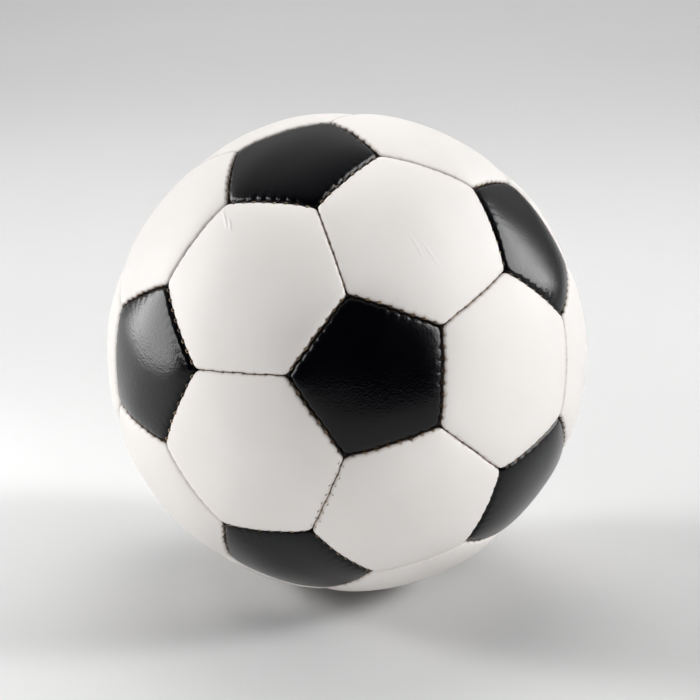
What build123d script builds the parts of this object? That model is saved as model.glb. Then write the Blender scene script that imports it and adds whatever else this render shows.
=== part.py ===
"""Size 5 hand-stitched football: 32 leather panels on a rubber bladder.

Row frame: origin at the centre of the ball, +Z up, the valve looks along -X.
"""
import os
from itertools import combinations
from math import acos, atan, cos, degrees, radians, sin, sqrt, tan

from build123d import *

os.makedirs("parts", exist_ok=True)

# ---- driving dimensions, mm and degrees -------------------------------------------------
ball_diameter = 220.0        # standard size 5: 68 to 70 cm round
skin_thickness = 1.0         # synthetic leather
lining_thickness = 1.2       # laminated cloth behind it
glue_gap = 0.02              # bond line between skin and lining
seam_gap = 0.05              # each folded edge stands this far from the seam plane
allowance_depth = 5.5        # how far the folded-in edge reaches below the outer surface
edge_bevel = 1.2             # slope of a panel's rim down into the seam
stitches_per_seam = 8
stitch_pitch = 2.75          # degrees of arc between two stitches
stitch_radius = 107.2        # distance of the stitches from the centre
stitch_hole_radius = 0.45
thread_radius = 0.40
bladder_radius = 104.4
bladder_thickness = 1.0
pattern_roll = 41.87         # turn of the pattern about the valve axis

valve_hole_radius = 4.4      # hole in the valve panel
valve_stem_radius = 4.2
valve_stem_top = 109.0
valve_stem_foot = 97.0
valve_flange_radius = 13.0
valve_flange_thickness = 1.2
valve_patch_radius = 17.0
valve_patch_thickness = 0.8
core_bore_radius = 2.50      # bore of the stem that holds the core
core_radius = 2.45
core_head_radius = 3.20
core_head_bore_radius = 3.30
core_head_thickness = 1.2
needle_radius = 1.25         # needle hole in the core
needle_depth = 9.0
slit_length = 2.2
slit_width = 0.15

# ---- truncated icosahedron --------------------------------------------------------------
ball_radius = ball_diameter / 2
panel_half_angle = {                             # centre of a panel to the middle of its edge
    5: degrees(atan(sqrt((5 + 2 * sqrt(5)) / 5) / 2 / 2.327438)),
    6: degrees(atan(sqrt(3) / 2 / 2.267284)),
}
near_ring = degrees(acos(sqrt((5 + 2 * sqrt(5)) / 15)))
far_ring = degrees(acos(sqrt((5 - 2 * sqrt(5)) / 15)))


def direction(polar, turn):
    """Unit vector at an angle from the valve axis, turned about it from +Z towards +Y."""
    across = sin(radians(polar))
    return Vector(-cos(radians(polar)), across * sin(radians(turn)), across * cos(radians(turn)))


half_ball = [direction(near_ring, pattern_roll + 120 * k) for k in range(3)]
half_ball += [direction(far_ring, pattern_roll + 180 + 120 * k) for k in range(3)]
pentagon_axes = half_ball + [-axis for axis in half_ball]

hexagon_axes = []
for trio in combinations(pentagon_axes, 3):
    if all(a.dot(b) > 0.4 for a, b in combinations(trio, 2)):
        hexagon_axes.append((trio[0] + trio[1] + trio[2]).normalized())
hexagon_axes.sort(key=lambda axis: (round(axis.X, 3), round(axis.Y, 3)))


def facing(axis, neighbour):
    """Plane through the centre, normal along axis, x direction towards the neighbour."""
    towards = neighbour - axis * neighbour.dot(axis)
    return Plane(origin=(0, 0, 0), x_dir=towards, z_dir=axis)


def panel_plane(axis):
    neighbour = max(pentagon_axes, key=lambda other: other.dot(axis) if other.dot(axis) < 0.99 else -1)
    return facing(axis, neighbour)


def edge_turns(sides):
    """Angles about the panel's axis at which its edges lie."""
    start = 180 / sides if sides == 5 else 0
    return [start + 360 / sides * k for k in range(sides)]


def stitch_angles():
    middle = (stitches_per_seam - 1) / 2
    return [(k - middle) * stitch_pitch for k in range(stitches_per_seam)]


# ---- panels -----------------------------------------------------------------------------
def side_plane(sides, turn):
    """Seam plane through the centre: x to the middle of the edge, y along it, z outwards."""
    lean, a = radians(panel_half_angle[sides]), radians(turn)
    middle = Vector(sin(lean) * cos(a), sin(lean) * sin(a), cos(lean))
    outwards = Vector(cos(lean) * cos(a), cos(lean) * sin(a), -sin(lean))
    return Plane(origin=(0, 0, 0), x_dir=middle, z_dir=outwards)


def panel_block(sides, inset, outer, inner, bevel=0.0):
    """Cap of a ball between side planes through its centre, moved in by inset, rim bevelled."""
    with BuildPart() as block:
        with Locations((0, 0, 0.6 * outer)):
            Cylinder(0.6 * outer, outer, align=(Align.CENTER, Align.CENTER, Align.MIN))
        for turn in edge_turns(sides):
            split(bisect_by=side_plane(sides, turn).offset(-inset), keep=Keep.BOTTOM)
        Sphere(outer, rotation=(90, 0, 0), mode=Mode.INTERSECT)
        Sphere(inner, rotation=(90, 0, 0), mode=Mode.SUBTRACT)
        if bevel > 0:
            crown = block.faces().filter_by(GeomType.SPHERE).sort_by(SortBy.AREA)[-1]
            chamfer(crown.edges(), length=bevel)
    return block.part


def stitch_planes(sides):
    """Planes across the folded edges, one per stitch hole."""
    planes = []
    for turn in edge_turns(sides):
        side = side_plane(sides, turn)
        for step in stitch_angles():
            spot = side.x_dir * cos(radians(step)) + side.y_dir * sin(radians(step))
            planes.append(Plane(origin=spot * stitch_radius, z_dir=side.z_dir))
    return planes


def panel_tray(sides, start, thickness, bevel):
    """One layer of a panel: domed face and folded-in edge, with its stitch holes."""
    foot = ball_radius - allowance_depth
    outer = panel_block(sides, seam_gap + start, ball_radius - start, foot, bevel)
    inner = panel_block(sides, seam_gap + start + thickness, ball_radius - start - thickness,
                        foot - 1.0)
    with BuildPart() as tray:
        add(outer)
        add(inner, mode=Mode.SUBTRACT)
        with Locations(*stitch_planes(sides)):
            Cylinder(stitch_hole_radius, 8.0, mode=Mode.SUBTRACT)
    return tray.part


lining_start = skin_thickness + glue_gap
pentagon_skin = panel_tray(5, 0.0, skin_thickness, edge_bevel)
hexagon_skin = panel_tray(6, 0.0, skin_thickness, edge_bevel)
pentagon_lining = panel_tray(5, lining_start, lining_thickness, 0.0)
hexagon_lining = panel_tray(6, lining_start, lining_thickness, 0.0)

for index, axis in enumerate(pentagon_axes):
    with BuildPart(panel_plane(axis)) as pentagon:
        add(pentagon_skin)
    pentagon.part.label = f"pentagon_{index + 1:02d}"
    export_step(pentagon.part, f"parts/pentagon_{index + 1:02d}.step")

with BuildPart(panel_plane(hexagon_axes[0])) as valve_panel:
    add(hexagon_skin)
    Cylinder(valve_hole_radius, ball_radius + 5, align=(Align.CENTER, Align.CENTER, Align.MIN),
             mode=Mode.SUBTRACT)
valve_panel.part.label = "valve_panel"
export_step(valve_panel.part, "parts/valve_panel.step")

for index, axis in enumerate(hexagon_axes[1:]):
    with BuildPart(panel_plane(axis)) as hexagon:
        add(hexagon_skin)
    hexagon.part.label = f"hexagon_{index + 1:02d}"
    export_step(hexagon.part, f"parts/hexagon_{index + 1:02d}.step")

with BuildPart(*[panel_plane(axis) for axis in pentagon_axes]) as pentagon_linings:
    add(pentagon_lining)
pentagon_linings.part.label = "pentagon_linings"
export_step(pentagon_linings.part, "parts/pentagon_linings.step")

with BuildPart(*[panel_plane(axis) for axis in hexagon_axes[1:]]) as hexagon_linings:
    add(hexagon_lining)
hexagon_linings.part.label = "hexagon_linings"
export_step(hexagon_linings.part, "parts/hexagon_linings.step")

with BuildPart(panel_plane(hexagon_axes[0])) as valve_panel_lining:
    add(hexagon_lining)
    Cylinder(valve_hole_radius, ball_radius + 5, align=(Align.CENTER, Align.CENTER, Align.MIN),
             mode=Mode.SUBTRACT)
valve_panel_lining.part.label = "valve_panel_lining"
export_step(valve_panel_lining.part, "parts/valve_panel_lining.step")

# ---- stitching --------------------------------------------------------------------------
rail_offset = seam_gap + lining_start + lining_thickness + thread_radius + 0.03
rail_overrun = 0.3           # degrees of thread past the first and last stitch


def around_seam(angle):
    """Direction in the seam plane, at an angle from the middle of the seam."""
    return Vector(0, sin(radians(angle)), cos(radians(angle)))


rung_planes = [Plane(origin=around_seam(step) * stitch_radius, z_dir=(1, 0, 0)) for step in stitch_angles()]
rail_start = stitch_angles()[0] - rail_overrun
rail_plane = Plane(origin=(0, 0, 0), x_dir=(1, 0, 0), z_dir=Vector(1, 0, 0).cross(around_seam(rail_start)))
with BuildPart() as seam_thread:
    with BuildSketch(rail_plane):
        with Locations((rail_offset, stitch_radius), (-rail_offset, stitch_radius)):
            Rectangle(2 * thread_radius, 2 * thread_radius + 0.1)
    revolve(axis=Axis((0, 0, 0), (-1, 0, 0)), revolution_arc=-2 * rail_start)
    with Locations(*rung_planes):
        Cylinder(thread_radius, 2 * rail_offset)

black_white_seams = []
white_white_seams = []
for pentagon_axis in pentagon_axes:
    for hexagon_axis in hexagon_axes:
        if pentagon_axis.dot(hexagon_axis) > 0.7:
            lean = radians(panel_half_angle[5])
            outward = (hexagon_axis - pentagon_axis * hexagon_axis.dot(pentagon_axis)).normalized()
            middle = pentagon_axis * cos(lean) + outward * sin(lean)
            black_white_seams.append(facing(middle, hexagon_axis))
for one, other in combinations(hexagon_axes, 2):
    if one.dot(other) > 0.7:
        white_white_seams.append(facing((one + other).normalized(), other))

with BuildPart(*black_white_seams) as black_white_thread:
    add(seam_thread.part)
black_white_thread.part.label = "black_white_thread"
export_step(black_white_thread.part, "parts/black_white_thread.step")

with BuildPart(*white_white_seams) as white_white_thread:
    add(seam_thread.part)
white_white_thread.part.label = "white_white_thread"
export_step(white_white_thread.part, "parts/white_white_thread.step")

# ---- bladder and valve, all along the valve axis ----------------------------------------
valve_plane = Plane(origin=(0, 0, 0), x_dir=(0, 1, 0), z_dir=(-1, 0, 0))
on_axis = (Align.CENTER, Align.CENTER, Align.MIN)

with BuildPart(valve_plane) as bladder:
    Sphere(bladder_radius)
    Sphere(bladder_radius - bladder_thickness, mode=Mode.SUBTRACT)
    Cylinder(valve_stem_radius + glue_gap, ball_radius, align=on_axis, mode=Mode.SUBTRACT)
bladder.part.label = "bladder"
export_step(bladder.part, "parts/bladder.step")

flange_seat = bladder_radius + glue_gap
with BuildPart() as valve_body_up:
    Cylinder(valve_flange_radius, ball_radius, align=on_axis)
    Sphere(flange_seat + valve_flange_thickness, mode=Mode.INTERSECT)
    Sphere(flange_seat, mode=Mode.SUBTRACT)
    with Locations((0, 0, valve_stem_foot)):
        Cylinder(valve_stem_radius, valve_stem_top - valve_stem_foot, align=on_axis)
        Cylinder(core_bore_radius, ball_radius, align=on_axis, mode=Mode.SUBTRACT)
    with Locations((0, 0, valve_stem_top - core_head_thickness)):
        Cylinder(core_head_bore_radius, ball_radius, align=on_axis, mode=Mode.SUBTRACT)
with BuildPart(valve_plane) as valve_body:
    add(valve_body_up.part)
valve_body.part.label = "valve_body"
export_step(valve_body.part, "parts/valve_body.step")

patch_top = ball_radius - lining_start - lining_thickness - glue_gap
with BuildPart() as valve_patch_up:
    Cylinder(valve_patch_radius, ball_radius, align=on_axis)
    Cylinder(valve_hole_radius, ball_radius, align=on_axis, mode=Mode.SUBTRACT)
    Sphere(patch_top, mode=Mode.INTERSECT)
    Sphere(patch_top - valve_patch_thickness, mode=Mode.SUBTRACT)
with BuildPart(valve_plane) as valve_patch:
    add(valve_patch_up.part)
valve_patch.part.label = "valve_patch"
export_step(valve_patch.part, "parts/valve_patch.step")

head_seat = valve_stem_top - core_head_thickness + glue_gap
with BuildPart() as valve_core_up:
    with Locations((0, 0, valve_stem_foot)):
        Cylinder(core_radius, head_seat - valve_stem_foot, align=on_axis)
    with Locations((0, 0, head_seat)):
        Cylinder(core_head_radius, valve_stem_top - head_seat, align=on_axis)
    with Locations((0, 0, valve_stem_top - needle_depth)):
        Cylinder(needle_radius, needle_depth, align=on_axis, mode=Mode.SUBTRACT)
    Box(slit_length, slit_width, 2 * ball_radius, mode=Mode.SUBTRACT)
with BuildPart(valve_plane) as valve_core:
    add(valve_core_up.part)
valve_core.part.label = "valve_core"
export_step(valve_core.part, "parts/valve_core.step")
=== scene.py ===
"""Blender scene of a 32-panel stitched football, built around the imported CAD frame.

The scene is in metres in the row frame: centre of the ball at the origin, valve along -X.
Sizes of the leather, the thread and the valve are in mm, and arcs and angles in degrees.
"""
from itertools import combinations
from math import acos, asin, atan, cos, degrees, exp, pi, radians, sin, sqrt, tan

import bpy
import numpy as np
from mathutils import Matrix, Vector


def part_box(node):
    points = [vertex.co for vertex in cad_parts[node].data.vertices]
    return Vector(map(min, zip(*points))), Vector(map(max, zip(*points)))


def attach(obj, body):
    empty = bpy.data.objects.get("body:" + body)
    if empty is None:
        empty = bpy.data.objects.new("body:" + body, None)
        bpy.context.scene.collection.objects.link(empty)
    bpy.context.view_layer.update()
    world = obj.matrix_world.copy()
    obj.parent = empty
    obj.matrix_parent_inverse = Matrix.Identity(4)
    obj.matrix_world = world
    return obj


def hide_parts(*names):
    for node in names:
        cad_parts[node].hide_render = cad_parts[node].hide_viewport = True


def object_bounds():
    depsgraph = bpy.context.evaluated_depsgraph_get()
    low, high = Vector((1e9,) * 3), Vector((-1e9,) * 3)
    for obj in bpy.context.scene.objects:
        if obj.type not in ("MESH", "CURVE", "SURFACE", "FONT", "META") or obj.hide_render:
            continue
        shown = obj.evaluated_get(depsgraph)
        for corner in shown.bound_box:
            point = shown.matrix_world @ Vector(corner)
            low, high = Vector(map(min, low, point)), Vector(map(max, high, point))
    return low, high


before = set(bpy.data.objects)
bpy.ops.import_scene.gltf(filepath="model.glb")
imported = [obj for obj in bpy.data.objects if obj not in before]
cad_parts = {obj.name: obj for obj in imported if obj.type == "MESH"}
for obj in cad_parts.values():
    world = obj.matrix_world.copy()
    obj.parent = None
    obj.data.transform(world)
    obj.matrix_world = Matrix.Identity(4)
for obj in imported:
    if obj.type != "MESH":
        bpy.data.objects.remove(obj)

MM = 0.001
cad_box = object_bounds()
low_corner, high_corner = cad_box
BALL_R = (high_corner.y - low_corner.y) / 2      # outermost crown of the panels
FLOOR_Z = low_corner.z
random = np.random.default_rng(32)

# ---- camera -------------------------------------------------------------------------------
CAMERA_AZIMUTH = 4.57        # 0 looks along +Y
CAMERA_ELEVATION = 17.5
CAMERA_DISTANCE = 1.389      # m
CAMERA_LENS = 155.0
SENSOR_WIDTH = 36.0
CAMERA_OFFSET = (0.0016, 0.0010)                 # m to the right and up of the ball's centre

# ---- pattern of the shell -----------------------------------------------------------------
BLACK, WHITE = "black", "white"
PATTERN_ROLL = 41.87         # turn of the pattern about the valve axis
CORNER_DISTANCE = 2.478019   # from the centre of a truncated icosahedron with edges of length 1
PENTAGON_DISTANCE = 2.327438
HEXAGON_DISTANCE = 2.267284
HALF_EDGE = degrees(asin(0.5 / CORNER_DISTANCE))         # half of a seam, as an arc
LEAN = {                     # centre of a panel to the middle of its edge
    BLACK: degrees(atan(sqrt((5 + 2 * sqrt(5)) / 5) / 2 / PENTAGON_DISTANCE)),
    WHITE: degrees(atan(sqrt(3) / 2 / HEXAGON_DISTANCE)),
}
SAME_PANEL = 0.99            # cosine between two axes above which they are one panel's
TOUCHING = 0.7               # and above which two panels share a seam
NEXT_PENTAGON = 0.4          # and above which two pentagons have only one seam between them
STITCHES = 8
STITCH_PITCH = 2.75
STITCH_STEPS = [(k - (STITCHES - 1) / 2) * STITCH_PITCH for k in range(STITCHES)]
WANDER = ((60.0, 0.3, 0.14), (130.0, 2.1, 0.09), (430.0, 4.0, 0.06))     # pace, phase, mm
WANDER_ALONG = (0.62, -0.35, 0.70)               # way in which a seam's line goes to and fro
WANDER_SIDE = (0.41, 0.57, 0.71)                 # way that tells one side of a seam from the other

# ---- panels -------------------------------------------------------------------------------
SKIN = 1.0                   # thickness of a panel's skin
LINING = 1.2                 # and of the cloth behind it
GLUE = 0.03
ALLOWANCE = 5.5              # depth of the folded-in edge below the ball's surface
VALVE_HOLE = 4.4             # radius of the hole in the valve panel
LIP = 0.5                    # rounding of that hole's edge
CORNER_POWER = 55.0          # how tight the corners of a panel are
LEAST_ROLL = 0.15            # smallest rounding of a layer's edge
LEAST_GAP = 0.12             # between the folded-in edge and the seam's plane
FOLD_ROWS = (0.3, 0.65, 1.0)                     # shares of the fold's depth with a row of mesh
RING_SPREAD = 1.7            # how much closer the mesh rings lie towards the rim
RIM_FADE = 1.6               # mm over which the look of the rim fades into the panel
BY_STITCH = (-2.3, -1.5, -0.9, -0.45, 0.0, 0.45, 0.9, 1.5, 2.3)   # mesh columns round a stitch
PAST_LAST_STITCH = (2.9, 3.35, 3.7)              # and from the last stitch to the corner
LINING_COLUMNS = 14          # even columns along each edge of a lining
CROWN = {BLACK: -0.10, WHITE: 0.25}              # height of a panel's middle above BALL_R
PILLOW = {                                       # (drop at the seam, how far in it fades, blend
    BLACK: ((1.00, 9.0, 3.0), (0.75, 2.8, 1.3)),     # of two seams at a corner: low adds them up)
    WHITE: ((1.00, 9.0, 3.0), (0.80, 2.7, 3.0)),
}
TUG_AT = (0.0, 4.2, 7.0, 9.7)                    # arc from the middle of a seam
TUG = (1.0, 1.0, 0.75, 0.35)                     # a stitch near a corner pulls less
STITCH_STRENGTH = (0.55, 1.30)                   # of the slackest stitch and the tightest
NOTCH_STRENGTH = (0.7, 1.0)                      # limits for the notch it makes in the edge
SWELLS = 9                   # slow waves in the leather, all over the ball
SWELL_PACE = (10, 26)
SWELL_HEIGHT = 0.07
SWELL_FADE = 3.0             # they die away this near a seam
CREASES = (                  # start and end as (turn, height), then bow and height in mm
    ((-43.5, 48.0), (-35.5, 43.0), 0.5, 0.45),
    ((-37.5, 46.0), (-33.5, 42.5), 0.3, 0.40),
    ((24.5, 44.5), (27.0, 37.0), 0.4, 0.12),
    ((28.0, 42.5), (31.5, 34.5), -0.3, 0.12),
    ((-15.5, 19.0), (-13.5, 13.0), 0.6, 0.06),
)
CREASE_WIDTH = 1.0



class Seam:
    """How one edge of a panel is worked."""

    def __init__(self, roll, corner_roll, gap, bite, bite_width, pull, pull_width, pull_fade):
        self.roll, self.corner_roll = roll, corner_roll          # rounding, and more of it at corners
        self.gap, self.bite, self.bite_width = gap, bite, bite_width     # to the plane; stitch notch
        self.pull, self.pull_width, self.pull_fade = pull, pull_width, pull_fade     # stitch dent


SEAM = {                     # by the panel's own colour and its neighbour's
    (BLACK, WHITE): Seam(2.6, 0.8, 0.05, 0.20, 0.80, 0.68, 1.30, 1.8),
    (WHITE, BLACK): Seam(1.2, 0.0, 0.05, 0.62, 0.80, 0.20, 1.00, 1.5),
    (WHITE, WHITE): Seam(1.3, 0.0, 0.06, 0.30, 0.60, 0.20, 0.80, 1.2),
}
# start: depth of the layer's outside below the panel's; rings: mesh rings from the middle to the
# rolled edge; roll_rings: rings round that edge
SKIN_LAYER = {"start": 0.0, "thick": SKIN, "rings": 13, "roll_rings": 6}
LINING_LAYER = {"start": SKIN + GLUE, "thick": LINING, "rings": 5, "roll_rings": 2}


def unit(v):
    return v / np.linalg.norm(v)


def ray_at(turn, height):
    """Unit vector turned from -Y towards +X and raised above the level."""
    turn, height = radians(turn), radians(height)
    return np.array([sin(turn) * cos(height), -cos(turn) * cos(height), sin(height)])


def direction(polar, turn):
    """Unit vector at an angle from the valve axis, turned about it from +Z towards +Y."""
    polar, turn = radians(polar), radians(turn)
    return np.array([-cos(polar), sin(polar) * sin(turn), sin(polar) * cos(turn)])


near_ring = degrees(acos(sqrt((5 + 2 * sqrt(5)) / 15)))
far_ring = degrees(acos(sqrt((5 - 2 * sqrt(5)) / 15)))
half_ball = [direction(near_ring, PATTERN_ROLL + 120 * k) for k in range(3)]
half_ball += [direction(far_ring, PATTERN_ROLL + 180 + 120 * k) for k in range(3)]
pentagon_axes = half_ball + [-axis for axis in half_ball]
hexagon_axes = [unit(a + b + c) for a, b, c in combinations(pentagon_axes, 3)
                if min(a @ b, b @ c, a @ c) > NEXT_PENTAGON]


def axis_of(node, axes):
    """The panel axis that runs through the middle of this CAD node."""
    low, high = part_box(node)
    middle = (np.array(low) + np.array(high)) / 2
    return max(axes, key=lambda axis: axis @ middle)


def colour_of(axis):
    return BLACK if max(a @ axis for a in pentagon_axes) > SAME_PANEL else WHITE


def neighbours(axis, axes):
    return [other for other in axes if TOUCHING < other @ axis < SAME_PANEL]


class SeamLine:
    """The seam between two panels: its middle, the way across it to the other, the way along."""

    def __init__(self, one, other):
        self.one, self.other = one, other
        lean = radians(LEAN[colour_of(one)])
        outward = unit(other - one * (one @ other))
        self.middle = one * cos(lean) + outward * sin(lean)
        self.across = outward * cos(lean) - one * sin(lean)
        self.along = np.cross(self.middle, self.across)


def wander(line, ray):
    """How far in mm the seam strays at a ray, from its one panel towards the other."""
    side = np.sign((line.other - line.one) @ WANDER_SIDE)
    stray = sum(size * np.sin(pace * (ray @ WANDER_ALONG) + phase) for pace, phase, size in WANDER)
    return side * stray


def stitch_comb(arc, width, strength=1.0, power=2):
    """High at each stitch along a seam and 0 between, for an arc from the seam's middle."""
    reach = BALL_R / MM * np.radians(np.subtract.outer(arc, STITCH_STEPS))
    return (np.exp(-np.abs(reach / width) ** power) * strength).sum(axis=-1)


def skin_columns():
    """Arcs at which a skin's mesh has its columns, close together at every stitch."""
    arcs = [step + degrees(offset * MM / BALL_R) for step in STITCH_STEPS for offset in BY_STITCH]
    ends = [STITCH_STEPS[-1] + degrees(offset * MM / BALL_R) for offset in PAST_LAST_STITCH]
    return np.array([-arc for arc in reversed(ends)] + arcs + ends)


def lining_columns():
    ends = np.linspace(-HALF_EDGE, HALF_EDGE, LINING_COLUMNS + 1)
    return ends[:-1] + HALF_EDGE / LINING_COLUMNS


swells = [(unit(random.normal(size=3)) * random.uniform(*SWELL_PACE), random.uniform(0, 2 * pi))
          for _ in range(SWELLS)]


def swell(ray):
    """Slow unevenness of the leather at a ray, in mm."""
    return sum(SWELL_HEIGHT * np.sin(ray @ vector + phase) for vector, phase in swells)


def mesh_object(name, points, faces):
    mesh = bpy.data.meshes.new(name)
    mesh.from_pydata(points, [], faces)
    mesh.shade_smooth()
    obj = bpy.data.objects.new(name, mesh)
    bpy.context.collection.objects.link(obj)
    return obj


# ---- shape of a panel ---------------------------------------------------------------------
class Outline:
    """A panel's rim, sampled all the way round: where it lies and how its edge is worked."""

    GRAZING = 0.05           # cosine under which an edge is behind the panel's middle
    FAR = 1e3                # so its reach counts as this

    def __init__(self, axis, columns):
        self.axis, self.colour = axis, colour_of(axis)
        lean = radians(LEAN[self.colour])
        x = unit(np.cross(axis, [0.3, 0.5, 0.8]))        # any way but along an axis
        y = np.cross(axis, x)
        near = neighbours(axis, hexagon_axes) + neighbours(axis, pentagon_axes)
        near.sort(key=lambda other: np.arctan2(other @ y, other @ x))
        bearings = [np.arctan2(other @ y, other @ x) for other in near]

        arcs = np.radians(columns)
        edges = []
        for other in near:
            edge = self.edge(SEAM[self.colour, colour_of(other)], columns)
            line = SeamLine(axis, other)
            ray = np.outer(np.cos(arcs), line.middle) + np.outer(np.sin(arcs), line.along)
            edge["gap"] -= wander(line, ray)
            edges.append(edge)
        self.roll, self.gap, self.pull, self.pull_fade = (
            np.concatenate([edge[key] for edge in edges]) for key in ("roll", "gap", "pull", "pull_fade"))

        along = np.arctan2(np.sin(arcs), np.cos(arcs) * sin(lean))
        turn = np.concatenate([bearing + along for bearing in bearings])
        self.outward = np.outer(np.cos(turn), x) + np.outer(np.sin(turn), y)
        facing = np.cos(np.subtract.outer(turn, bearings))
        ahead = np.arctan(tan(lean) / np.maximum(facing, self.GRAZING))
        reach = np.where(facing > self.GRAZING, ahead, self.FAR)
        self.angle = (reach ** -CORNER_POWER).sum(axis=1) ** (-1 / CORNER_POWER)
        self.inward = np.array([axis * sin(lean) - cos(lean) * (x * cos(bearing) + y * sin(bearing))
                                for bearing in bearings])

    @staticmethod
    def edge(seam, columns):
        """The edge's shape at each column along one seam."""
        past_last = np.abs(columns) - STITCH_STEPS[-1]
        corner = np.clip(past_last / (HALF_EDGE - STITCH_STEPS[-1]), 0, 1)
        strength = random.uniform(*STITCH_STRENGTH, STITCHES)
        tug = strength * np.interp(np.abs(STITCH_STEPS), TUG_AT, TUG)
        notch = np.clip(strength, *NOTCH_STRENGTH)
        return {
            "roll": seam.roll + seam.corner_roll * corner,
            "gap": seam.gap + seam.bite * stitch_comb(columns, seam.bite_width, notch, power=3),
            "pull": seam.pull * stitch_comb(columns, seam.pull_width, tug),
            "pull_fade": np.full(len(columns), seam.pull_fade),
        }

    def padding(self, ray):
        """How far in mm the padded panel falls away from its middle towards its seams."""
        inset = BALL_R / MM * np.arcsin(np.clip(ray @ self.inward.T, 0, 1))
        return sum(drop * np.exp(-blend * inset / fade).sum(axis=1) ** (1 / blend)
                   for drop, fade, blend in PILLOW[self.colour])


def surface(outline, inset, sink):
    """Points of a panel's outside, inset mm in from the seam plane and sink mm below its dome."""
    theta = outline.angle - inset * MM / BALL_R
    ray = np.outer(np.cos(theta), outline.axis) + outline.outward * np.sin(theta)[:, None]
    dome = BALL_R / MM + CROWN[outline.colour] - outline.padding(ray)
    dome = dome - outline.pull * np.exp(-inset / outline.pull_fade)
    dome = dome + swell(ray) * (1 - np.exp(-inset / SWELL_FADE))
    return ray * ((dome - sink) * MM)[:, None]


def panel_rows(outline, hole, start, thick, rings, roll_rings):
    """Closed tray of one layer of a panel as rows of points, from the middle out and back.

    Each row also has a number for the materials: 0 on the panel, 1 at its rim, 2 in the fold.
    """
    rows, rim = [], []
    gap, roll = outline.gap + start, np.maximum(outline.roll - start, LEAST_ROLL)
    full = outline.angle * BALL_R / MM
    edge, middle = gap + roll, full - hole

    def row(inset, sink, worn):
        rows.append(surface(outline, inset, np.broadcast_to(sink, full.shape)))
        rim.append(np.broadcast_to(worn, full.shape))

    if hole:
        for phi in (pi / 2, pi / 3, pi / 6):
            row(middle - LIP * (1 - sin(phi)), start + LIP * (1 - cos(phi)), 1.0)
        middle = middle - LIP
    for k in range(0 if hole else 1, rings):
        share = 1 - (1 - k / rings) ** RING_SPREAD
        inset = middle * (1 - share) + edge * share
        row(inset, start, np.exp(-(inset - edge) / RIM_FADE))
    for k in range(roll_rings + 1):
        phi = pi / 2 * k / roll_rings
        row(gap + roll * (1 - sin(phi)), start + roll * (1 - cos(phi)), 1.0 + k / roll_rings)
    for share in FOLD_ROWS:
        row(np.maximum(gap, LEAST_GAP + start), start + roll + (ALLOWANCE - start - roll) * share, 2.0)
    row(gap + thick, ALLOWANCE, 2.0)
    inner_rings = max(4, rings // 3)
    for k in range(inner_rings + (1 if hole else 0)):
        share = k / inner_rings
        row((gap + thick) * (1 - share) + (full - hole) * share, start + thick, 2.0)
    return rows, rim


def tray(name, outline, hole, start, thick, rings, roll_rings):
    """Mesh object of a panel layer; hole is the radius of a round hole in its middle, or 0."""
    rows, rim = panel_rows(outline, hole, start, thick, rings, roll_rings)
    points, rim, count = np.concatenate(rows), np.concatenate(rim), len(rows[0])
    index = np.arange(len(points)).reshape(len(rows), count)
    after = np.roll(index, -1, axis=1)
    faces = np.stack([index[:-1], index[1:], after[1:], after[:-1]], axis=-1).reshape(-1, 4).tolist()
    if hole:
        faces += np.stack([index[-1], index[0], after[0], after[-1]], axis=-1).tolist()
    else:
        height = CROWN[outline.colour] - outline.padding(outline.axis[None])[0] + swell(outline.axis)
        top = BALL_R + (height - start) * MM
        points = np.vstack([points, outline.axis * top, outline.axis * (top - thick * MM)])
        rim = np.append(rim, [0.0, 2.0])
        first, last = len(points) - 2, len(points) - 1
        faces += [[first, index[0, k], after[0, k]] for k in range(count)]
        faces += [[last, after[-1, k], index[-1, k]] for k in range(count)]
    obj = mesh_object(name, points.tolist(), faces)
    obj.data.attributes.new("rim", "FLOAT", "POINT").data.foreach_set("value", rim.astype(np.float32))
    return obj


def join(name, objects):
    """One object made of several meshes."""
    with bpy.context.temp_override(active_object=objects[0], selected_editable_objects=objects):
        bpy.ops.object.join()
    objects[0].name = name
    objects[0].data.name = name
    return objects[0]


def finish_piece(obj, material, slot, body, *nodes):
    """Give a piece its material and its body, and hide the CAD nodes that it stands for."""
    obj.data.materials.clear()
    obj.data.materials.append(material)
    if nodes:
        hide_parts(*nodes)
    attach(obj, body)


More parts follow.
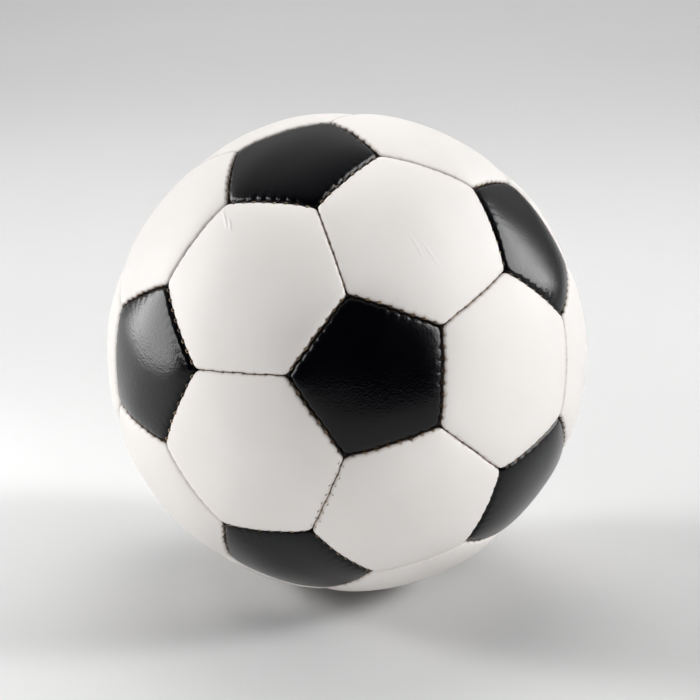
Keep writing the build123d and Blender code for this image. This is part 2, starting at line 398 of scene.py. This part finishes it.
# ---- materials ----------------------------------------------------------------------------
class Nodes:
    """Short way to write a node tree."""

    def __init__(self, name):
        self.material = bpy.data.materials.new(name)
        self.material.use_nodes = True
        self.tree = self.material.node_tree
        self.shader = self.tree.nodes["Principled BSDF"]
        self.place = self.add("ShaderNodeTexCoord").outputs["Object"]

    def add(self, kind, inputs=None, **settings):
        node = self.tree.nodes.new(kind)
        for key, value in settings.items():
            setattr(node, key, value)
        for key, value in (inputs or {}).items():
            self.put(node.inputs[key], value)
        return node

    def put(self, socket, value):
        if isinstance(value, bpy.types.NodeSocket):
            self.tree.links.new(value, socket)
        else:
            socket.default_value = value

    def math(self, operation, *values):
        node = self.add("ShaderNodeMath", dict(enumerate(values)), operation=operation)
        return node.outputs[0]

    def vector_math(self, operation, one, other):
        return self.add("ShaderNodeVectorMath", {0: one, 1: tuple(other)}, operation=operation).outputs

    def noise(self, scale, detail=3.0, rough=0.5, place=None):
        node = self.add("ShaderNodeTexNoise", {"Vector": place or self.place, "Scale": scale,
                                               "Detail": detail, "Roughness": rough})
        return node.outputs["Fac"]

    def stretched(self, scale):
        return self.add("ShaderNodeMapping", {"Vector": self.place, "Scale": scale}).outputs[0]

    def cells(self, scale, feature="F1"):
        node = self.add("ShaderNodeTexVoronoi", {"Vector": self.place, "Scale": scale}, feature=feature)
        return node.outputs["Distance"]

    def ramp(self, value, low, high, out_low=0.0, out_high=1.0):
        node = self.add("ShaderNodeMapRange", {"Value": value, "From Min": low, "From Max": high,
                                               "To Min": out_low, "To Max": out_high})
        return node.outputs[0]

    def mix(self, share, one, other):
        """Colour between one and other, which are sockets 6 and 7 of a colour mix."""
        return self.add("ShaderNodeMix", {6: one, 7: other, 0: share}, data_type="RGBA").outputs[2]

    def blend(self, one, other, share):
        """Height between one and other."""
        return self.math("ADD", self.math("MULTIPLY", one, 1 - share), self.math("MULTIPLY", other, share))

    def attribute(self, name):
        return self.add("ShaderNodeAttribute", attribute_name=name).outputs["Fac"]

    def bump(self, height, distance, strength=1.0, normal=None):
        inputs = {"Height": height, "Distance": distance, "Strength": strength}
        if normal is not None:
            inputs["Normal"] = normal
        return self.add("ShaderNodeBump", inputs).outputs[0]

    def crease(self, start, end, bow):
        """Height from 0 to 1 of a short fold in the leather, bowed sideways by bow mm."""
        start, end = BALL_R * ray_at(*start), BALL_R * ray_at(*end)
        ahead, length = unit(end - start), np.linalg.norm(end - start)
        across = np.cross(unit(start), ahead)
        from_start = self.vector_math("SUBTRACT", self.place, start)[0]
        along = self.vector_math("DOT_PRODUCT", from_start, ahead / length)["Value"]
        aside = self.vector_math("DOT_PRODUCT", from_start, across)["Value"]
        arch = self.math("MULTIPLY", along, self.math("SUBTRACT", 1.0, along))
        aside = self.math("SUBTRACT", aside, self.math("MULTIPLY", arch, 4 * bow * MM))
        fold = self.ramp(self.math("ABSOLUTE", aside), 0.0, CREASE_WIDTH * MM, 1.0, 0.0)
        for low, high in ((0.0, 0.3), (1.0, 0.7)):       # it tapers towards both ends
            fold = self.math("MULTIPLY", fold, self.ramp(along, low, high))
        return fold

    def surface(self, **inputs):
        for key, value in inputs.items():
            self.put(self.shader.inputs[key.replace("_", " ")], value)
        return self.material


def black_leather():
    """Glossy black skin with a fine grain, a little dust, and raw edges in the fold."""
    n = Nodes("black_leather")
    grain = n.cells(1150, feature="SMOOTH_F1")
    wrinkle = n.noise(330, 4, 0.6, n.stretched((1.0, 1.8, 1.0)))
    normal = n.bump(n.blend(grain, wrinkle, 0.35), 0.00014, 0.85)
    dust = n.math("MULTIPLY", n.ramp(n.noise(1100, 2), 0.77, 0.83), 0.2)
    shade = n.ramp(n.noise(45, 2), 0.3, 0.7)
    colour = n.mix(shade, (0.0004, 0.0005, 0.0014, 1), (0.0010, 0.0011, 0.0022, 1))
    colour = n.mix(dust, colour, (0.05, 0.048, 0.045, 1))
    colour = n.mix(n.ramp(n.attribute("rim"), 1.2, 2.0), colour, (0.006, 0.004, 0.003, 1))
    rough = n.ramp(n.noise(60, 3), 0.3, 0.7, 0.18, 0.25)
    return n.surface(Base_Color=colour, Roughness=rough, Normal=normal, Specular_IOR_Level=0.32)


def white_leather():
    """Satin white skin, slightly mottled, with a few creases, a pinkish-brown rim and painted seam shade.
    """
    n = Nodes("white_leather")
    grain = n.cells(1300, feature="SMOOTH_F1")
    wrinkle = n.noise(160, 4, 0.55, n.stretched((1.6, 1.0, 1.3)))
    normal = n.bump(n.blend(grain, wrinkle, 0.6), 0.00005, 0.4)
    for start, end, bow, height in CREASES:
        normal = n.bump(n.crease(start, end, bow), height * MM, 1.0, normal)
    rim = n.attribute("rim")
    mottled = n.ramp(n.noise(28, 3), 0.3, 0.7)
    colour = n.mix(mottled, (0.835, 0.80, 0.772, 1), (0.86, 0.828, 0.803, 1))
    colour = n.mix(n.ramp(rim, 1.0, 1.6, 0.0, 0.30), colour, (0.50, 0.41, 0.36, 1))
    # painted shade: the lower rolled edge and the walls down in the seam go nearly black, as the seam's
    # shadow
    colour = n.mix(n.ramp(rim, 1.55, 1.9, 0.0, 0.95), colour, (0.05, 0.03, 0.02, 1))
    rough = n.ramp(n.noise(70, 3), 0.3, 0.7, 0.48, 0.60)
    return n.surface(Base_Color=colour, Roughness=rough, Normal=normal, Specular_IOR_Level=0.18)


def waxed_thread():
    """Twisted tan thread, dark where the wax has picked up dirt."""
    n = Nodes("waxed_thread")
    twist = n.noise(2600, 2)
    dirt = n.ramp(n.noise(110, 2), 0.42, 0.60, 0.75, 0.0)
    colour = n.mix(n.ramp(twist, 0.35, 0.65), (0.20, 0.11, 0.06, 1), (0.74, 0.56, 0.38, 1))
    colour = n.mix(dirt, colour, (0.05, 0.03, 0.018, 1))
    return n.surface(Base_Color=colour, Roughness=n.ramp(n.noise(800), 0.3, 0.7, 0.28, 0.5),
                     Normal=n.bump(twist, 0.0001, 0.6))


def woven_cloth():
    n = Nodes("woven_cloth")
    weave = n.math("MULTIPLY", n.cells(1400), n.noise(900, 2))
    colour = n.mix(weave, (0.62, 0.58, 0.50, 1), (0.80, 0.77, 0.70, 1))
    return n.surface(Base_Color=colour, Roughness=n.ramp(weave, 0, 1, 0.8, 0.95),
                     Normal=n.bump(weave, 0.0002, 0.6))


def moulded_rubber(name, tone):
    n = Nodes(name)
    speckle = n.noise(1800, 3)
    colour = n.mix(n.ramp(speckle, 0.35, 0.7), (tone, tone, tone * 1.05, 1),
                   (tone * 1.8, tone * 1.8, tone * 1.8, 1))
    return n.surface(Base_Color=colour, Roughness=n.ramp(n.noise(300), 0.3, 0.7, 0.42, 0.62),
                     Normal=n.bump(speckle, 0.00005, 0.5))


def plain_floor():
    n = Nodes("pale_floor")
    colour = n.mix(n.ramp(n.noise(3, 2), 0.3, 0.7), (0.62, 0.62, 0.62, 1), (0.64, 0.64, 0.64, 1))
    return n.surface(Base_Color=colour, Roughness=n.ramp(n.noise(40), 0.3, 0.7, 0.75, 0.85))


materials = {
    "black_panel": black_leather(),
    "white_panel": white_leather(),
    "thread": waxed_thread(),
    "lining": woven_cloth(),
    "bladder": moulded_rubber("bladder_rubber", 0.04),
    "valve_rubber": moulded_rubber("valve_rubber", 0.035),
    "core_rubber": moulded_rubber("core_rubber", 0.012),
}

# ---- build the panels ---------------------------------------------------------------------
panels = []
linings = {"pentagon_linings": [], "hexagon_linings": [], "valve_panel_lining": []}
for node in sorted(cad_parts):
    if not node.startswith(("pentagon_", "hexagon_", "valve_panel")) or "lining" in node:
        continue
    axis = axis_of(node, pentagon_axes if node.startswith("pentagon_") else hexagon_axes)
    hole = VALVE_HOLE if node == "valve_panel" else 0.0
    panel = Outline(axis, skin_columns())
    panels.append(panel)
    slot = panel.colour + "_panel"
    finish_piece(tray("skin_" + node, panel, hole, **SKIN_LAYER), materials[slot], slot, "ball", node)
    kind = "valve_panel_lining" if hole else node.split("_")[0] + "_linings"
    lining = Outline(axis, lining_columns())
    linings[kind].append(tray("lining_of_" + node, lining, hole, **LINING_LAYER))
for node, layers in linings.items():
    finish_piece(join("cloth_" + node, layers), materials["lining"], "lining", "ball", node)

# ---- stitching ----------------------------------------------------------------------------
# width and length: half the size across and along the seam; radius: of the thread
# pricks, where thread shows beside a seam, are small loops too: no piece here has stitch holes
MIXED_LOOP = {"width": 0.42, "length": 0.85, "radius": 0.17}
WHITE_LOOP = {"width": 0.24, "length": 0.40, "radius": 0.16}
PRICK_LOOP = {"width": 0.18, "length": 0.30, "radius": 0.17}
# depth: between stitches, below the ball's surface; dip: how much deeper it dives at a stitch
MIXED_RUN = {"depth": 4.6, "dip": 0.2, "radius": 0.30}
WHITE_RUN = {"depth": 2.4, "dip": 1.4, "radius": 0.16}
DIVE_WIDTH = 0.75
THREAD_SIDES = 6
LOOP_POINTS = 14
LOOP_TILT = 0.30             # the side of a loop on the seam's second panel lies deeper
LOOP_LIFT = 0.10             # loops differ this much in depth
LOOP_LEAN = 0.30             # and this much in slant
MIXED_SHIFT = 0.16           # loops between black and white sit on the white side
MIXED_JITTER = 0.08          # and stray along the seam
MIXED_DEPTH = 1.95
SLACK = ray_at(90.0, 18.6)   # way across a seam in which its stitches stand proud
PROUD = 0.45
UNDERSIDE = 0.35             # from this far down the ball, stitches lie deeper
UNDERSIDE_SINK = 1.2
WHITE_DEPTH = 2.8
PRICKED = ray_at(-0.6, -23.2)                    # place of the one seam with pricks beside it
NEAR_PRICKED = 0.985
PRICK_SIDES = (-1.5, 0.9), (-0.9, 1.5)           # least and most way across, on both sides
PRICK_JITTER = 0.5


class Tubes:
    """Round threads gathered into one mesh."""

    def __init__(self):
        self.points, self.faces = [], []

    def add(self, path, radius, closed=False):
        path = np.array(path)
        ahead = np.roll(path, -1, axis=0) - np.roll(path, 1, axis=0)
        if not closed:
            ahead[0], ahead[-1] = path[1] - path[0], path[-1] - path[-2]
        ahead /= np.linalg.norm(ahead, axis=1)[:, None]
        side = np.cross(ahead, unit(path.mean(axis=0)))
        side /= np.linalg.norm(side, axis=1)[:, None]
        top = np.cross(side, ahead)
        turn = 2 * pi * np.arange(THREAD_SIDES) / THREAD_SIDES
        ring = (path[:, None] + radius * (side[:, None] * np.cos(turn)[None, :, None]
                                          + top[:, None] * np.sin(turn)[None, :, None]))
        base = sum(map(len, self.points))
        index = base + np.arange(len(path) * THREAD_SIDES).reshape(len(path), THREAD_SIDES)
        self.points.append(ring.reshape(-1, 3))
        if closed:
            index = np.vstack([index, index[:1]])
        after = np.roll(index, -1, axis=1)
        walls = np.stack([index[:-1], after[:-1], after[1:], index[1:]], axis=-1)
        self.faces += walls.reshape(-1, 4).tolist()
        if not closed:
            self.faces += [index[0].tolist(), index[-1][::-1].tolist()]

    def object(self, name):
        return mesh_object(name, np.concatenate(self.points).tolist(), self.faces)


def seam_point(line, arc, side, depth):
    """Point by a seam: arc along it, side mm across it, depth mm below the ball."""
    ray = line.middle * cos(radians(arc)) + line.along * sin(radians(arc))
    return ray * (BALL_R - depth * MM) + line.across * (side + wander(line, ray)) * MM


def stitch_loop(tubes, line, arc, side, depth, width, length, radius):
    """The ring of thread that shows where it passes from one panel to the next."""
    depth = depth + random.uniform(-LOOP_LIFT, LOOP_LIFT)
    lean = random.uniform(-LOOP_LEAN, LOOP_LEAN)
    path = []
    for t in 2 * pi * np.arange(LOOP_POINTS) / LOOP_POINTS:
        ahead = degrees((length * sin(t) + lean * cos(t)) * MM / BALL_R)
        path.append(seam_point(line, arc + ahead, side + width * cos(t), depth + LOOP_TILT * cos(t)))
    tubes.add(path, radius * MM, closed=True)


def running_thread(tubes, line, depth, dip, radius):
    """The thread that runs on from the first stitch of a seam to its last, diving at each."""
    arcs = skin_columns()
    arcs = arcs[np.abs(arcs) < STITCH_STEPS[-1] + 0.01]
    path = [seam_point(line, arc, 0.0, depth + dip * dive)
            for arc, dive in zip(arcs, stitch_comb(arcs, DIVE_WIDTH))]
    tubes.add(path, radius * MM)


def leather_depth(line, arc, side):
    """How far in mm below BALL_R the panel beside the seam lies, side mm from the seam."""
    axis = line.one if side < 0 else line.other
    panel = max(panels, key=lambda outline: outline.axis @ axis)
    ray = unit(seam_point(line, arc, side, 0.0))
    sway = swell(ray) * (1 - exp(-abs(side) / SWELL_FADE))
    return panel.padding(ray[None, :])[0] - CROWN[panel.colour] - sway


mixed_tubes, white_tubes = Tubes(), Tubes()
for pentagon in pentagon_axes:
    for hexagon in neighbours(pentagon, hexagon_axes):
        line = SeamLine(pentagon, hexagon)
        running_thread(mixed_tubes, line, **MIXED_RUN)
        depth = MIXED_DEPTH - PROUD * (line.across @ SLACK)
        depth += UNDERSIDE_SINK * max(0.0, -line.middle[2] - UNDERSIDE)
        for step in STITCH_STEPS:
            arc = step + random.uniform(-MIXED_JITTER, MIXED_JITTER)
            stitch_loop(mixed_tubes, line, arc, MIXED_SHIFT, depth, **MIXED_LOOP)
for one, other in combinations(hexagon_axes, 2):
    if one @ other < TOUCHING:
        continue
    line = SeamLine(one, other)
    running_thread(white_tubes, line, **WHITE_RUN)
    for step in STITCH_STEPS:
        stitch_loop(white_tubes, line, step, 0.0, WHITE_DEPTH, **WHITE_LOOP)
    if line.middle @ PRICKED < NEAR_PRICKED:
        continue
    for step in STITCH_STEPS:
        for side in random.uniform(*PRICK_SIDES):
            arc = step + random.uniform(-PRICK_JITTER, PRICK_JITTER)
            stitch_loop(white_tubes, line, arc, side, leather_depth(line, arc, side), **PRICK_LOOP)
finish_piece(mixed_tubes.object("stitches_black_white"), materials["thread"], "thread", "ball",
             "black_white_thread")
finish_piece(white_tubes.object("stitches_white_white"), materials["thread"], "thread", "ball",
             "white_white_thread")

# ---- valve: radii, and distances from the ball's centre -----------------------------------
LATHE_STEPS = 72
SHARP_EDGE = 40
STEM_FOOT = 97.0
STEM_RADIUS = 4.2
FLANGE_RADIUS = 13.0
CORE_BORE = 2.50             # bore of the stem that holds the core's shaft
HEAD_BORE = 3.30             # and the wider one for its head
HEAD_SEAT = 107.8
CORE_RADIUS = 2.45
NEEDLE_RADIUS = 1.25         # needle hole in the core, whose slit at the bottom is not modelled


def lathe(name, profile):
    """Solid of revolution about the valve axis, from a profile of (radius, distance)."""
    turns = 2 * pi * np.arange(LATHE_STEPS) / LATHE_STEPS
    points, faces, rings = [], [], []
    for radius, height in profile:
        if radius == 0:
            rings.append([len(points)] * LATHE_STEPS)
            points.append((-height * MM, 0.0, 0.0))
            continue
        rings.append([len(points) + k for k in range(LATHE_STEPS)])
        points += [(-height * MM, radius * MM * cos(t), radius * MM * sin(t)) for t in turns]
    for ring, above in zip(rings, rings[1:] + rings[:1]):
        for k in range(LATHE_STEPS):
            after = (k + 1) % LATHE_STEPS
            corners = list(dict.fromkeys([ring[k], ring[after], above[after], above[k]]))
            if len(corners) > 2:
                faces.append(corners)
    obj = mesh_object(name, points, faces)
    obj.data.set_sharp_from_angle(angle=radians(SHARP_EDGE))
    return obj


def rounded(radius, height, size, start, steps=5):
    """Quarter round on a profile's corner; start is the angle of its first point."""
    turns = [radians(start + 90 * k / steps) for k in range(steps + 1)]
    return [(radius + size * cos(t), height + size * sin(t)) for t in turns]


stem_profile = [(CORE_BORE, STEM_FOOT), (STEM_RADIUS, STEM_FOOT), (STEM_RADIUS, 104.42)]
stem_profile += [(FLANGE_RADIUS, 103.7), (FLANGE_RADIUS, 104.6)]
stem_profile += [(12.4, 104.95), (6.0, 105.60), (STEM_RADIUS, 106.2)]
stem_profile += rounded(3.9, 108.7, 0.3, 0) + rounded(3.55, 108.85, 0.15, 90)
stem_profile += [(HEAD_BORE, HEAD_SEAT), (CORE_BORE, HEAD_SEAT)]
finish_piece(lathe("valve_stem", stem_profile), materials["valve_rubber"], "valve_rubber", "ball",
             "valve_body")

core_profile = [(0.0, STEM_FOOT), (2.3, STEM_FOOT), (CORE_RADIUS, 97.2)]
core_profile += [(CORE_RADIUS, 107.82), (3.1, 107.84)]
core_profile += rounded(2.85, 108.65, 0.35, 0)
core_profile += [(2.3, 108.95), (1.75, 108.80), (1.45, 108.55)]
core_profile += [(NEEDLE_RADIUS, 108.2), (NEEDLE_RADIUS, 100.2), (0.0, 100.0)]
finish_piece(lathe("valve_core_plug", core_profile), materials["core_rubber"], "core_rubber",
             "valve_core", "valve_core")

for node, slot in (("bladder", "bladder"), ("valve_patch", "lining")):
    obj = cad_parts[node]
    obj.data.materials.clear()
    obj.data.materials.append(materials[slot])

# ---- studio, in metres --------------------------------------------------------------------
FLOOR_HALF = 4.0
ROOM = {                     # direction it fades along: from, to, and the brightness at each
    "Y": (-0.30, 0.75, 0.02, 1.0),
    "Z": (0.0, 0.5, 0.125, 0.52),
}


def standing(right, up, back, place):
    """Matrix of a thing that looks against back, with its right and up as given."""
    turned = np.array([right, up, back]).T
    return Matrix([[*row, shift] for row, shift in zip(turned, place)] + [[0, 0, 0, 1]])


def floor():
    corners = [(x * FLOOR_HALF, y * FLOOR_HALF, FLOOR_Z) for x, y in ((-1, -1), (1, -1), (1, 1), (-1, 1))]
    obj = mesh_object("floor", corners, [(0, 1, 2, 3)])
    obj.data.materials.append(plain_floor())


def softbox(name, place, size, radiance, target=(0.0, 0.0, 0.0), spread=180.0, lit=True, mirrored=True):
    """Rectangular light of the given brightness, which lights the ball or is mirrored in it."""
    light = bpy.data.lights.new(name, "AREA")
    light.shape = "RECTANGLE"
    light.size, light.size_y = size
    light.energy = radiance * pi * size[0] * size[1]
    light.spread = radians(spread)
    obj = bpy.data.objects.new(name, light)
    away = unit(np.array(place) - np.array(target))
    right = unit(np.cross([0, 0, 1.0], away))
    obj.matrix_world = standing(right, np.cross(away, right), away, place)
    obj.visible_camera = False
    obj.visible_diffuse = lit
    obj.visible_glossy = mirrored
    bpy.context.collection.objects.link(obj)


def studio_world():
    """A pale room behind and above the ball, and a dark one behind the camera."""
    world = bpy.data.worlds.new("studio")
    world.use_nodes = True
    tree = world.node_tree
    toward = tree.nodes.new("ShaderNodeTexCoord")
    split = tree.nodes.new("ShaderNodeSeparateXYZ")
    tree.links.new(toward.outputs["Generated"], split.inputs[0])
    level = tree.nodes.new("ShaderNodeMath")
    level.operation = "MULTIPLY"
    for socket, (axis, span) in zip(level.inputs, ROOM.items()):
        fade = tree.nodes.new("ShaderNodeMapRange")
        for name, value in zip(("From Min", "From Max", "To Min", "To Max"), span):
            fade.inputs[name].default_value = value
        tree.links.new(split.outputs[axis], fade.inputs["Value"])
        tree.links.new(fade.outputs[0], socket)
    tree.links.new(level.outputs[0], tree.nodes["Background"].inputs["Strength"])
    tree.nodes["Background"].inputs["Color"].default_value = (1, 1, 1, 1)
    bpy.context.scene.world = world


def camera():
    back = ray_at(CAMERA_AZIMUTH, CAMERA_ELEVATION)
    right = ray_at(CAMERA_AZIMUTH + 90, 0.0)
    up = np.cross(back, right)
    obj = bpy.data.objects.new("camera", bpy.data.cameras.new("camera"))
    obj.data.lens = CAMERA_LENS
    obj.data.sensor_width = SENSOR_WIDTH
    place = back * CAMERA_DISTANCE + right * CAMERA_OFFSET[0] + up * CAMERA_OFFSET[1]
    obj.matrix_world = standing(right, up, back, place)
    bpy.context.collection.objects.link(obj)
    return obj


floor()
studio_world()
# two windows and a screen that the black leather mirrors, and that light nothing
softbox("left_window", (-1.30, 0.275, 0.35), (1.15, 0.92), 6.3, target=(0.0, 0.275, 0.35), lit=False)
softbox("right_window", (1.30, 0.25, 0.81), (1.60, 1.38), 6.5, target=(0.0, 0.25, 0.81), lit=False)
softbox("left_screen", (-1.30, -0.58, 0.55), (0.60, 0.50), 5.5, target=(0.0, -0.58, 0.55), lit=False)
# soft lights on the ball, then two on the floor beside it and behind it
softbox("left_wash", (-2.4, 0.2, 1.1), (1.4, 1.0), 0.74, spread=24, mirrored=False)
softbox("right_wash", (2.4, 0.1, 1.3), (1.6, 1.2), 0.75, spread=24, mirrored=False)
softbox("low_fill", (0.0, -1.8, 0.05), (1.4, 0.3), 0.48, spread=25, mirrored=False)
softbox("left_pool", (-0.8, 0.0, 0.9), (0.4, 0.4), 0.70, target=(-0.38, 0.0, -0.11), spread=20,
        mirrored=False)
softbox("floor_wash", (0.0, 1.15, 2.0), (1.4, 1.6), 1.60, target=(0.0, 1.151, -0.11), spread=90,
        mirrored=False)
bpy.context.scene.camera = camera()
bpy.context.scene.view_settings.view_transform = "Standard"
